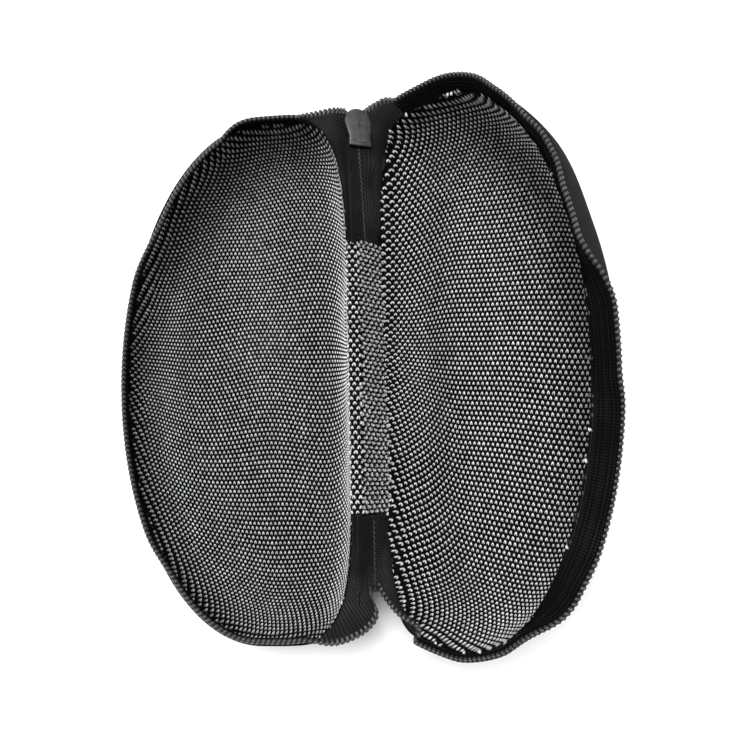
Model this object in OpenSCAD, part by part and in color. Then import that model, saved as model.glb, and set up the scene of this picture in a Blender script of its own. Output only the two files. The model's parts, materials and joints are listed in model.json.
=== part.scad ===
// Zipped carrying case for small headphones: two moulded foam bowls joined by a soft
// spine, a coil zipper round the rim, and a slider with a swinging puller.
// It is drawn open. The base lies on its flat underside and the lid leans up beside it.

/* [Bowls] */
// Length of one bowl along the spine
case_length = 160; // [140:1:180]
// Width of one bowl from the spine to the front
case_width = 70; // [60:1:80]
// How far from the spine the bowl is longest
longest_at = 27; // [22:1:34]
// Squareness of the two corners beside the spine
back_squareness = 5; // [4:0.1:6]
// Squareness of the front of the rim, where 2 is an ellipse
front_squareness = 2; // [1.8:0.1:2.4]
// Outer depth of one bowl below its spine edge
bowl_depth = 26; // [22:0.5:32]
// Reach of the rounded lower edge towards the middle, across the bowl
edge_reach_across = 15.5; // [12:0.5:22]
// Reach of the rounded lower edge towards the middle, along the bowl
edge_reach_along = 28; // [18:1:36]
// Squareness of the rounded lower edge
edge_squareness = 3; // [2.2:0.1:3.6]
// Extra height of the rim away from the spine
rim_rise = 1.5; // [0:0.1:3]

/* [Layers] */
// Thickness of the woven outer cover
cover_t = 0.5; // [0.4:0.1:0.8]
// Thickness of the foam at the floor of the bowl
foam_t = 1.9; // [1.5:0.1:3]
// Thickness of the mesh lining
lining_t = 0.5; // [0.4:0.1:0.8]

/* [Spine] */
// Upper end of the spine strip
spine_top = 40; // [36:1:46]
// Lower end of the spine strip
spine_bottom = -44; // [-48:1:-38]

/* [Zipper] */
// Height of the rim tape above the spine edge
collar_height = 6; // [5:0.1:7]
// Gap left between the two rims when the lid is shut
closing_gap = 0.4; // [0.3:0.1:0.8]
// Thickness of the zipper tape
tape_t = 0.6; // [0.5:0.1:0.8]
// Width of one coil row
coil_w = 2.8; // [2.4:0.1:3.2]
// Thickness of one coil row
coil_t = 1.6; // [1.4:0.1:2]

/* [Slider] */
// Length of the slider plates
slider_l = 12.5; // [12:0.5:16]
// Width of the slider at its head
slider_w = 9.6; // [9:0.1:12]
// Width of the slider at its tail
tail_w = 7.2; // [6.5:0.1:9]
// Thickness of each slider plate
plate_t = 1.2; // [1:0.1:1.5]
// Length of the hanging puller
puller_l = 16; // [12:0.5:18]
// Width of the hanging puller
puller_w = 5.8; // [5:0.1:7]

/* [Opening] */
// Tilt of the open lid from the horizontal
lid_tilt = 36; // [30:1:45]

/* [Hidden] */
$fn = 48;

half_length = case_length / 2;
// Corner and front steps of the rim outline, for each quarter
back_steps = 10;
front_steps = 13;
// Steps down the wall of a bowl
wall_steps = 8;
// Middle of the bowl across its width
bowl_middle = case_width / 2;

// Layer faces at the thin rim and at full thickness, outwards from the rim line
rim_face = tape_t / 2;
cover_out = rim_face + cover_t;
lining_in = -rim_face - lining_t;
full_swell = 0.2;
full_inset = -rim_face - foam_t + tape_t + 0.2;
// How far the cover and lining stand above the foam at the rim
rim_lap = 1.8;

// The spine axis runs along the outer skin at the base's spine edge
strip_height = 2 * collar_height + closing_gap;
hinge_x = bowl_middle + cover_out;
hinge_z = bowl_depth;
strip_gap = 0.2;

// Depth of each layer face below the spine edge
cover_depth = bowl_depth;
foam_depth = cover_depth - cover_t;
lining_depth = foam_depth - foam_t;
inside_depth = lining_depth - lining_t;

// Closed coils: their middle line leans towards the base as it nears the slider
chain_low_n = 7.2;
chain_high_n = 8.9;
chain_low_y = spine_top + 2;
chain_high_y = 69;
chain_lean = atan2(chain_high_n - chain_low_n, chain_high_y - chain_low_y);
chain_in = 0.15;

// Slider: its middle lies on the closed coils' line, rolled to face up out of the case
slider_y = 78;
slider_n = chain_high_n + (slider_y - chain_high_y) * tan(chain_lean);
slider_roll = 24;
bail_wire = 1.4;
bail_clear = 2.2;
eye_r = 1.7;

function smooth(t) = let (u = max(0, min(1, t))) u * u * (3 - 2 * u);

// Rim outline as [across, along] points: the back quarter is square, the front is round
function back_point(t) = [
  longest_at * (1 - pow(cos(t), 2 / back_squareness)),
  half_length * pow(sin(t), 2 / back_squareness)
];
function front_point(t) = [
  longest_at + (case_width - longest_at) * pow(sin(t), 2 / front_squareness),
  half_length * pow(cos(t), 2 / front_squareness)
];
upper_half = concat(
  [for (i = [0 : back_steps]) back_point(90 * i / back_steps)],
  [for (i = [1 : front_steps]) front_point(90 * i / front_steps)]
);
half_count = len(upper_half);
rim = concat(upper_half,
  [for (i = [half_count - 2 : -1 : 1]) [upper_half[i][0], -upper_half[i][1]]]);
rim_count = len(rim);

function rim_at(i) = rim[(i + rim_count) % rim_count];
function unit(v) = v / norm(v);
// Outward direction of the outline at point i
function outward(i) = let (d = unit(rim_at(i + 1) - rim_at(i - 1))) [-d[1], d[0]];
// The rim rises away from the spine edge
function rim_level(i) = -cover_t - 0.3 + (rim_rise + 0.8) * smooth((rim_at(i)[0] - 0.5) / 10);

// One ring of a bowl face: step -1 is the lap above the foam, 0 the foam's rim,
// and the rest go down the wall to the flat floor
function wall_angle(k) = 90 * k / wall_steps;
function bowl_point(i, k, face_rim, face_full, depth) =
  let (
    angle = wall_angle(max(k, 0)),
    drop = pow(sin(angle), 2 / edge_squareness),
    reach = 1 - pow(cos(angle), 2 / edge_squareness),
    face = face_rim + (face_full - face_rim) * smooth(max(k, 0) / 2),
    p = rim_at(i) + face * outward(i),
    top = rim_level(i) + 0.8 - (k < 0 ? 0 : rim_lap),
    across = 1 - reach * edge_reach_across / bowl_middle,
    along = 1 - reach * edge_reach_along / half_length
  )
  [bowl_middle + (p[0] - bowl_middle) * across, p[1] * along, top - (top + depth) * drop];
function bowl_face(first, face_rim, face_full, depth) = [
  for (k = [first : wall_steps]) for (i = [0 : rim_count - 1])
    bowl_point(i, k, face_rim, face_full, depth)
];

// A closed bowl wall between an outer and an inner face
module bowl_wall(first, out_rim, out_full, out_depth, in_rim, in_full, in_depth) {
  rings = wall_steps - first + 1;
  count = rings * rim_count;
  outer = bowl_face(first, out_rim, out_full, out_depth);
  inner = bowl_face(first, in_rim, in_full, in_depth);
  floor_points = [[bowl_middle, 0, -out_depth], [bowl_middle, 0, -in_depth]];
  function at(side, k, i) = side * count + k * rim_count + i % rim_count;
  sides = [for (k = [0 : rings - 2]) for (i = [0 : rim_count - 1]) each [
    [at(0, k, i), at(0, k + 1, i), at(0, k + 1, i + 1)],
    [at(0, k, i), at(0, k + 1, i + 1), at(0, k, i + 1)],
    [at(1, k, i), at(1, k + 1, i + 1), at(1, k + 1, i)],
    [at(1, k, i), at(1, k, i + 1), at(1, k + 1, i + 1)]
  ]];
  floors = [for (i = [0 : rim_count - 1]) each [
    [at(0, rings - 1, i), 2 * count, at(0, rings - 1, i + 1)],
    [at(1, rings - 1, i), at(1, rings - 1, i + 1), 2 * count + 1]
  ]];
  lip = [for (i = [0 : rim_count - 1]) each [
    [at(0, 0, i), at(0, 0, i + 1), at(1, 0, i + 1)],
    [at(0, 0, i), at(1, 0, i + 1), at(1, 0, i)]
  ]];
  polyhedron(points = concat(outer, inner, floor_points), faces = concat(sides, floors, lip));
}

module cover_wall() {
  bowl_wall(-1, cover_out, cover_out + full_swell, cover_depth,
    rim_face, rim_face + full_swell, foam_depth);
}
module foam_wall() {
  bowl_wall(0, rim_face, rim_face + full_swell, foam_depth,
    -rim_face, full_inset, lining_depth);
}
module lining_wall() {
  bowl_wall(-1, -rim_face, full_inset, lining_depth,
    lining_in, full_inset - lining_t, inside_depth);
}

// A strip with a constant section, swept round the rim between two outline points
collar_start = 6;
collar_end = rim_count - 6;
module rim_sweep(section) {
  m = len(section);
  n = collar_end - collar_start + 1;
  points = [for (i = [collar_start : collar_end]) for (s = section)
    let (p = rim_at(i) + s[0] * outward(i))
      [p[0], p[1], s[1] > 0 ? s[1] : s[1] + rim_level(i)]];
  sides = [for (k = [0 : n - 2]) for (j = [0 : m - 1]) let (j2 = (j + 1) % m) each [
    [k * m + j, (k + 1) * m + j, k * m + j2],
    [k * m + j2, (k + 1) * m + j, (k + 1) * m + j2]
  ]];
  caps = [[for (j = [0 : m - 1]) j], [for (j = [m - 1 : -1 : 0]) (n - 1) * m + j]];
  polyhedron(points = points, faces = concat(sides, caps));
}
function ring_section(middle, half_w, half_h, sides) = [
  for (j = [0 : sides - 1]) let (t = 360 * (j + 0.5) / sides)
    middle + [half_w * cos(t), half_h * sin(t)]
];

coil_middle = [rim_face + coil_t / 2, collar_height - coil_w / 2];
cord_half = 0.3;
module rim_tape() {
  foot = -1;
  rim_sweep([[rim_face, foot], [rim_face, collar_height - 0.3],
    [-rim_face, collar_height - 0.3], [-rim_face, foot]]);
}
// The coil is a hollow tube here, with its core cord inside
module rim_coil() {
  difference() {
    rim_sweep(ring_section(coil_middle, coil_t / 2, coil_w / 2, 8));
    rim_sweep(ring_section(coil_middle, cord_half, cord_half * 2, 6));
  }
}
module rim_cord() {
  rim_sweep(ring_section(coil_middle, cord_half, cord_half * 2, 6));
}

// Frames: a half's own axes are across the bowl, along the spine and up from the rim
module in_base() { translate([hinge_x - cover_out, 0, hinge_z]) mirror([1, 0, 0]) children(); }
module in_lid() {
  translate([hinge_x, 0, hinge_z]) rotate([0, -lid_tilt, 0])
    translate([cover_out, 0, -strip_height]) children();
}
// Closed coils run along +Y here, with the outside of the case at -X
module in_chain() {
  in_lid() translate([chain_in, chain_low_y, chain_low_n])
    rotate([chain_lean, 0, 0]) children();
}
module in_slider() {
  in_lid() translate([chain_in, slider_y, slider_n]) rotate([0, -slider_roll, 0])
    rotate([chain_lean, 0, 0]) children();
}

module base_outer_cover() { color([0.05, 0.05, 0.06]) in_base() cover_wall(); }
module base_foam_shell() { color([0.12, 0.12, 0.13]) in_base() foam_wall(); }
module base_lining() { color([0.45, 0.46, 0.47]) in_base() lining_wall(); }
module base_zip_tape() { color([0.04, 0.04, 0.05]) in_base() rim_tape(); }
module base_zip_coil() { color([0.2, 0.2, 0.21]) in_base() rim_coil(); }
module base_coil_cord() { color([0.1, 0.1, 0.1]) in_base() rim_cord(); }

module lid_outer_cover() { color([0.05, 0.05, 0.06]) in_lid() cover_wall(); }
module lid_foam_shell() { color([0.12, 0.12, 0.13]) in_lid() foam_wall(); }
module lid_lining() { color([0.45, 0.46, 0.47]) in_lid() lining_wall(); }
module lid_zip_tape() { color([0.04, 0.04, 0.05]) in_lid() rim_tape(); }
module lid_zip_coil() { color([0.2, 0.2, 0.21]) in_lid() rim_coil(); }
module lid_coil_cord() { color([0.1, 0.1, 0.1]) in_lid() rim_cord(); }

// The spine strip stands on the lid's spine edge and reaches to the spine axis
module spine_layer(from, to) {
  translate([-to, spine_bottom, 0])
    cube([to - from, spine_top - spine_bottom, strip_height - strip_gap]);
}
foam_inside = -rim_face + 0.05;
module spine_cover() { color([0.05, 0.05, 0.06]) in_lid() spine_layer(rim_face, cover_out); }
module spine_foam() { color([0.12, 0.12, 0.13]) in_lid() spine_layer(foam_inside, rim_face); }
module spine_lining() {
  color([0.45, 0.46, 0.47]) in_lid() spine_layer(lining_in, foam_inside);
}

// Closed zipper ends: both tapes side by side, with the meshed coils on their outer face
top_chain_l = 26.5;
bottom_chain_l = 20;
bottom_chain_y = spine_bottom - 1;
module chain_tapes(length) {
  translate([-tape_t / 2, 0, -chain_low_n + 0.9])
    cube([tape_t, length, strip_height - 2.8]);
}
module chain_coils(length) {
  for (side = [-1, 1])
    translate([-tape_t / 2 - coil_t / 2, 0, side * (coil_w / 2 + 0.02)])
      rotate([-90, 0, 0]) coil_tube(length);
}
module coil_tube(length) {
  linear_extrude(length) polygon(ring_section([0, 0], coil_t / 2, coil_w / 2, 16));
}
module top_chain_tapes() { color([0.08, 0.08, 0.09]) in_chain() chain_tapes(top_chain_l); }
module top_chain_coils() { color([0.2, 0.2, 0.21]) in_chain() chain_coils(top_chain_l); }
module in_bottom_chain() {
  in_lid() translate([chain_in, bottom_chain_y, strip_height / 2])
    rotate([180, 0, 0]) children();
}
module bottom_chain_tapes() {
  color([0.08, 0.08, 0.09]) in_bottom_chain()
    translate([0, 0, chain_low_n - strip_height / 2]) chain_tapes(bottom_chain_l);
}
module bottom_chain_coils() {
  color([0.2, 0.2, 0.21]) in_bottom_chain() chain_coils(bottom_chain_l);
}
// A crimped clip holds the last coils together at the lower end
module bottom_stop() {
  color([0.15, 0.15, 0.16]) in_bottom_chain() translate([0, bottom_chain_l, 0])
    translate([-tape_t / 2 - coil_t, 0.1, -coil_w]) cube([tape_t + coil_t, 2.2, 2 * coil_w]);
}
// Bar tacks sew the tape ends to the spine strip
module tape_end_tacks() {
  color([0.07, 0.07, 0.08]) in_lid() for (y = [spine_top + 0.1, spine_bottom - 0.9])
    translate([-rim_face, y, 1.2]) cube([tape_t, 0.8, strip_height - 2.6]);
}

// Slider plates lie across the closed coils: local Z is the width, X points inwards
function head_point(t) = [slider_w / 2 * cos(t), slider_l / 2 - slider_w / 2 + slider_w / 2 * sin(t)];
plate_outline = concat(
  [for (t = [0 : 12 : 180]) head_point(t)],
  [[-tail_w / 2, -slider_l / 2 + 3], [-tail_w / 2 - 0.3, -slider_l / 2],
    [tail_w / 2 + 0.3, -slider_l / 2], [tail_w / 2, -slider_l / 2 + 3]]
);
module plate(x, thick) {
  translate([x, 0, 0]) rotate([0, -90, 0]) translate([0, 0, -thick])
    linear_extrude(thick) polygon(plate_outline);
}
inner_x = tape_t / 2 + 0.45;
outer_x = -tape_t / 2 - coil_t - 0.3;
module slider_inner_plate() { color([0.36, 0.36, 0.35]) in_slider() plate(inner_x, plate_t); }
module slider_outer_plate() {
  color([0.36, 0.36, 0.35]) in_slider() plate(outer_x - plate_t, plate_t);
}
// The neck between the plates parts the two rows of coil at the head
neck_y = slider_l / 2 - 2.6;
module slider_neck() {
  color([0.33, 0.33, 0.32]) in_slider() translate([outer_x, neck_y, 0]) rotate([0, 90, 0])
    linear_extrude(inner_x - outer_x)
      polygon([[-1.6, 1.4], [0, -2.4], [1.6, 1.4], [1, 2.2], [-1, 2.2]]);
}
bail_l = 9;
bail_w = 2;
bail_rise = bail_clear + bail_wire;
module slider_bail() {
  color([0.3, 0.3, 0.3]) in_slider() translate([outer_x - plate_t, 0, -bail_w / 2])
    linear_extrude(bail_w) difference() {
      bail_half(bail_l / 2, bail_rise);
      bail_half(bail_l / 2 - bail_wire, bail_clear);
    }
}
module bail_half(reach, rise) {
  polygon([[0, -reach], [-rise + 0.5, -reach], [-rise, -reach + 0.5],
    [-rise, reach - 0.5], [-rise + 0.5, reach], [0, reach]]);
}

// The puller hangs straight down from the bail and swings about it, along the spine
wire_x = outer_x - plate_t - bail_clear - bail_wire / 2;
puller_tilt = lid_tilt + slider_roll;
puller_t = 1.6;
puller_y = 0.5;
eye_ring = 0.8;
eye_drop = 0.35;
shoulder_drop = 2.6;
module in_puller() {
  in_slider() translate([wire_x, puller_y, 0]) rotate([-chain_lean, 0, 0])
    rotate([0, puller_tilt, 0]) children();
}
module puller_outline(length, width) {
  translate([0, -eye_drop]) circle(r = eye_r + eye_ring);
  translate([-width / 2, -length + width / 2]) square([width, length - width / 2 - shoulder_drop]);
  translate([0, -length + width / 2]) circle(r = width / 2);
}
module puller_tab() {
  color([0.3, 0.3, 0.3]) in_puller() rotate([90, 0, 0]) translate([0, 0, -puller_t / 2])
    linear_extrude(puller_t) difference() {
      puller_outline(puller_l, puller_w);
      translate([0, -eye_drop]) circle(r = eye_r);
      translate([-puller_w / 2 + 1.2, -puller_l + 2.2])
        square([puller_w - 2.4, puller_l - eye_drop - 7.5]);
    }
}
// A soft grip fills the window of the puller
module puller_grip() {
  color([0.1, 0.1, 0.1]) in_puller() rotate([90, 0, 0])
    translate([-puller_w / 2 + 1.2, -puller_l + 2.2, -puller_t / 2 + 0.3])
      cube([puller_w - 2.4, puller_l - eye_drop - 7.5, puller_t - 0.6]);
}

base_outer_cover();
base_foam_shell();
base_lining();
base_zip_tape();
base_zip_coil();
base_coil_cord();
lid_outer_cover();
lid_foam_shell();
lid_lining();
lid_zip_tape();
lid_zip_coil();
lid_coil_cord();
spine_cover();
spine_foam();
spine_lining();
top_chain_tapes();
top_chain_coils();
bottom_chain_tapes();
bottom_chain_coils();
bottom_stop();
tape_end_tacks();
slider_outer_plate();
slider_inner_plate();
slider_neck();
slider_bail();
puller_tab();
puller_grip();
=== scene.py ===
import json
import math

import bpy
import numpy as np
from mathutils import Euler, Matrix, Vector
from mathutils.bvhtree import BVHTree
from mathutils.geometry import barycentric_transform


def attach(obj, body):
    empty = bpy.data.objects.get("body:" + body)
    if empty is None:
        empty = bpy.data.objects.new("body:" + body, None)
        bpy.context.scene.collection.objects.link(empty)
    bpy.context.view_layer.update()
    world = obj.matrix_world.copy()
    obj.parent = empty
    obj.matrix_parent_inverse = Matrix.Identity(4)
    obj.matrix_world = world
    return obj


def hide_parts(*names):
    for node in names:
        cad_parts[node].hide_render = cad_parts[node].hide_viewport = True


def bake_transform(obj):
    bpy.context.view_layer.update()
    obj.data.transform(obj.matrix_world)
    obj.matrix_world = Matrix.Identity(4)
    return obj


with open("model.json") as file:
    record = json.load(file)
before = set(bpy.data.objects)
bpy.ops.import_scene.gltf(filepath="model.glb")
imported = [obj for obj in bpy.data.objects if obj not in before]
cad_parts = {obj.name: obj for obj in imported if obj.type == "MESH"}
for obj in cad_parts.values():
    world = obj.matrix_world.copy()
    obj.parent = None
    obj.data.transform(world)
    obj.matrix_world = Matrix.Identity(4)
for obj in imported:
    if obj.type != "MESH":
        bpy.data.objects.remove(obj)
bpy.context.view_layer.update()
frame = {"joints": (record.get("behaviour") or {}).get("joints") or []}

# ---------------------------------------------------------------------------
# The table it stands on, the light and the camera.
# A pale sweep under soft studio panels; the camera hangs close above the spine.
# ---------------------------------------------------------------------------


def deselect():
    if bpy.context.object and bpy.context.object.mode != "OBJECT":
        bpy.ops.object.mode_set(mode="OBJECT")
    bpy.ops.object.select_all(action="DESELECT")


def new_material(name, base_color, roughness, metallic=0.0, specular=0.5):
    """A principled material, with its node tree ready for more."""
    material = bpy.data.materials.new(name)
    material.use_nodes = True
    shader = material.node_tree.nodes["Principled BSDF"]
    shader.inputs["Base Color"].default_value = (*base_color, 1)
    shader.inputs["Roughness"].default_value = roughness
    shader.inputs["Metallic"].default_value = metallic
    shader.inputs["Specular IOR Level"].default_value = specular
    return material, material.node_tree, shader


def set_input(tree, socket, value):
    if isinstance(value, bpy.types.NodeSocket):
        tree.links.new(value, socket)
    else:
        socket.default_value = value


def step_up(tree, value, low, high, to_low=0.0, to_high=1.0):
    """A smooth step of value from low to high."""
    node = tree.nodes.new("ShaderNodeMapRange")
    node.interpolation_type = "SMOOTHSTEP"
    for place, number in enumerate((value, low, high, to_low, to_high)):
        set_input(tree, node.inputs[place], number)
    return node.outputs[0]


def noise(tree, scale, detail=2.0):
    """A noise texture on Object coordinates."""
    node = tree.nodes.new("ShaderNodeTexNoise")
    tree.links.new(tree.nodes.new("ShaderNodeTexCoord").outputs["Object"], node.inputs["Vector"])
    node.inputs["Scale"].default_value = scale
    node.inputs["Detail"].default_value = detail
    return node.outputs["Fac"]


deselect()
bpy.ops.mesh.primitive_plane_add(size=1.6)
floor = bpy.context.object
floor.name = "floor"
table_white, table_tree, table_shader = new_material("table_white", (0.95, 0.95, 0.95), 0.6)
table_tree.links.new(
    step_up(table_tree, noise(table_tree, 40, 3), 0.3, 0.7, 0.57, 0.63),
    table_shader.inputs["Roughness"],
)
floor.data.materials.append(table_white)

world = bpy.context.scene.world or bpy.data.worlds.new("studio")
bpy.context.scene.world = world
world.use_nodes = True
world.node_tree.nodes["Background"].inputs["Color"].default_value = (1, 1, 1, 1)
sky = world.node_tree
seen = sky.nodes.new("ShaderNodeMapRange")  # a bright backdrop, which lights the table less
sky.links.new(sky.nodes.new("ShaderNodeLightPath").outputs["Is Camera Ray"], seen.inputs["Value"])
seen.inputs["To Min"].default_value = 0.14
seen.inputs["To Max"].default_value = 0.85
sky.links.new(seen.outputs["Result"], sky.nodes["Background"].inputs["Strength"])
bpy.context.scene.view_settings.view_transform = "Standard"


def soft_light(name, place, aim, size, watts):
    bpy.ops.object.light_add(type="AREA", location=place)
    lamp = bpy.context.object
    lamp.name = name
    lamp.data.shape = "DISK"
    lamp.data.size = size
    lamp.data.energy = watts
    lamp.rotation_euler = (Vector(aim) - Vector(place)).to_track_quat("-Z", "Y").to_euler()


soft_light("overhead_panel", (0.02, 0.16, 0.62), (0.03, 0, 0), 0.26, 2.0)
bpy.ops.object.light_add(type="SUN", location=(0.02, 0.16, 0.62))
wide_light = bpy.context.object
wide_light.name = "wide_overhead_light"
wide_light.data.energy = 2.0
wide_light.data.angle = math.radians(30)
wide_light.rotation_euler = (Vector((0.01, -0.16, -0.62))).to_track_quat("-Z", "Y").to_euler()
soft_light("left_panel", (-0.55, -0.1, 0.45), (0, 0, 0.02), 0.4, 1.8)
soft_light("right_panel", (0.6, 0.1, 0.5), (0.03, 0, 0.02), 0.4, 1.0)

camera_data = bpy.data.cameras.new("camera")
camera = bpy.data.objects.new("camera", camera_data)
bpy.context.collection.objects.link(camera)
camera.location = (0.0604, -0.0285, 0.2181)
camera.rotation_euler = Euler((math.radians(7.50), math.radians(5.585), math.radians(-1.432)))
camera_data.lens = 30.74
camera_data.sensor_width = 36
camera_data.clip_start = 0.005
bpy.context.scene.camera = camera

# ---------------------------------------------------------------------------
# The outer covers of the two bowls.
# Fine black woven polyester, bonded to the foam and moulded with it. The bowl's
# outline is square at the spine and round at the front, as the mould is.
# ---------------------------------------------------------------------------
MM = 0.001
# the bowl's outline, depth and layers, in millimetres
CASE_LENGTH, CASE_WIDTH, LONGEST_AT = 160, 70, 27
BACK_SQUARENESS, FRONT_SQUARENESS, EDGE_SQUARENESS = 5, 2, 3
REACH_ACROSS, REACH_ALONG = 15.5, 28
BOWL_MIDDLE = CASE_WIDTH / 2
BOWL_DEPTH, COVER_T, FOAM_T, LINING_T, TAPE_T = 26, 0.5, 1.9, 0.5, 0.6
RIM_STEPS, FLOOR_STEP = 1500, 8
FLAT_REACH = 15  # how far out the walls lie on the flat cloth, before moulding
RIM_FACE = TAPE_T / 2
COVER_OUT = RIM_FACE + COVER_T
COVER_FULL = COVER_OUT + 0.2
LINING_RIM = -RIM_FACE - LINING_T
LINING_BACK = -1.4
FOAM_DEPTH = BOWL_DEPTH - COVER_T
LINING_DEPTH = FOAM_DEPTH - FOAM_T
INSIDE_DEPTH = LINING_DEPTH - LINING_T
RIM_RISE, RIM_LAP = 1.5, 1.8
COLLAR = 6
STRIP = 2 * COLLAR + 0.4
LID_STRETCH = 1.015  # pulled open past its set, the lid lies a little longer

hinge = next(j for j in frame["joints"] if j["name"] == "lid_hinge")
HINGE = np.array(hinge["pos_m"]) / MM
LID_TILT = math.radians(36)


def smooth(t):
    t = np.clip(t, 0, 1)
    return t * t * (3 - 2 * t)


def travelled(points):
    """The distance along a line of points, at each of them."""
    return np.concatenate([[0], np.cumsum(np.linalg.norm(np.diff(points, axis=0), axis=1))])


def rim_line():
    """The rim's line as dense points across and along the bowl, from the spine's middle round by
    the slider end, with the distance travelled at each; in millimetres, as all below."""
    t = (1 - np.cos(np.linspace(0, math.pi, RIM_STEPS))) * math.pi / 4
    c, s = np.clip(np.cos(t), 0, 1), np.sin(t)
    half = CASE_LENGTH / 2
    back = np.stack([LONGEST_AT * (1 - c ** (2 / BACK_SQUARENESS)), half * s ** (2 / BACK_SQUARENESS)])
    front = np.stack([LONGEST_AT + (CASE_WIDTH - LONGEST_AT) * s ** (2 / FRONT_SQUARENESS),
                      half * c ** (2 / FRONT_SQUARENESS)])
    upper = np.concatenate([back.T, front.T[1:]])
    line = np.concatenate([upper, upper[-2::-1] * (1, -1)])
    return line, travelled(line)


RIM, TRAVELLED = rim_line()
RIM_LENGTH = TRAVELLED[-1]


def rim_at(travel):
    """Points on the rim at distances along it, and the outward direction at each."""

    def point(d):
        return np.stack([np.interp(d % RIM_LENGTH, TRAVELLED, RIM[:, k]) for k in (0, 1)], axis=-1)

    ahead = point(travel + 0.6) - point(travel - 0.6)
    ahead /= np.linalg.norm(ahead, axis=-1)[..., None]
    return point(travel), np.stack([-ahead[..., 1], ahead[..., 0]], axis=-1)


def rim_level(across):
    return -COVER_T - 0.3 + (RIM_RISE + 0.8) * smooth((across - 0.5) / 10)


def bowl_ring(points, outward, step, face_rim, face_full, depth):
    """One ring of a bowl's face: step -1 is its top edge, 0 the foam's rim and
    FLOOR_STEP the floor's edge."""
    angle = math.radians(90 * max(step, 0) / FLOOR_STEP)
    drop = math.sin(angle) ** (2 / EDGE_SQUARENESS)
    reach = 1 - max(math.cos(angle), 0) ** (2 / EDGE_SQUARENESS)
    face = face_rim + (face_full - face_rim) * smooth(max(step, 0) / 2)
    p = points + face * outward
    top = rim_level(points[:, 0]) + 0.8 - RIM_LAP * min(1, step + 1)
    across = BOWL_MIDDLE + (p[:, 0] - BOWL_MIDDLE) * (1 - reach * REACH_ACROSS / BOWL_MIDDLE)
    along = p[:, 1] * (1 - reach * REACH_ALONG / (CASE_LENGTH / 2))
    return np.stack([across, along, top - (top + depth) * drop], axis=1)


def in_base(p):
    """From a bowl's own axes (across, along, up), in millimetres, to the base's place, in metres."""
    x = HINGE[0] - COVER_OUT - p[..., 0]
    return np.stack([x, p[..., 1], HINGE[2] + p[..., 2]], axis=-1) * MM


def in_lid(p):
    """As in_base, for the lid, whose lower corner by the spine is drawn in rounder."""
    drawn_in = 2.2 * smooth((30 - p[..., 0]) / 22) * smooth((-62 - p[..., 1]) / 16)
    p = np.stack([p[..., 0], p[..., 1] + drawn_in, p[..., 2]], axis=-1)
    across, up = p[..., 0] + COVER_OUT, p[..., 2] - STRIP
    x = HINGE[0] + across * math.cos(LID_TILT) - up * math.sin(LID_TILT)
    z = HINGE[2] + across * math.sin(LID_TILT) + up * math.cos(LID_TILT)
    return np.stack([x, p[..., 1] * LID_STRETCH, z], axis=-1) * MM


def shaped_grid(name, points, uvs, material, smooth_angle=180):
    """A grid whose vertices are moved to points[row, column], with its seams closed and its own map."""
    rows, columns = points.shape[:2]
    deselect()
    bpy.ops.mesh.primitive_grid_add(x_subdivisions=columns - 1, y_subdivisions=rows - 1, size=1)
    piece = bpy.context.object
    piece.name = name
    mesh = piece.data
    mesh.name = name
    flat = np.empty(len(mesh.vertices) * 3)
    mesh.vertices.foreach_get("co", flat)
    flat = flat.reshape(-1, 3)
    column = np.rint((flat[:, 0] + 0.5) * (columns - 1)).astype(int)
    row = np.rint((flat[:, 1] + 0.5) * (rows - 1)).astype(int)
    mesh.vertices.foreach_set("co", points[row, column].ravel())
    corner = np.empty(len(mesh.loops), dtype=int)
    mesh.loops.foreach_get("vertex_index", corner)
    mesh.uv_layers.active.data.foreach_set("uv", uvs[row, column][corner].ravel())
    bpy.ops.object.mode_set(mode="EDIT")
    bpy.ops.mesh.select_all(action="SELECT")
    bpy.ops.mesh.remove_doubles(threshold=1e-6)
    bpy.ops.mesh.normals_make_consistent(inside=False)
    bpy.ops.object.mode_set(mode="OBJECT")
    if smooth_angle >= 180:
        bpy.ops.object.shade_smooth()
    else:
        bpy.ops.object.shade_smooth_by_angle(angle=math.radians(smooth_angle))
    mesh.materials.append(material)
    return piece


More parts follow.
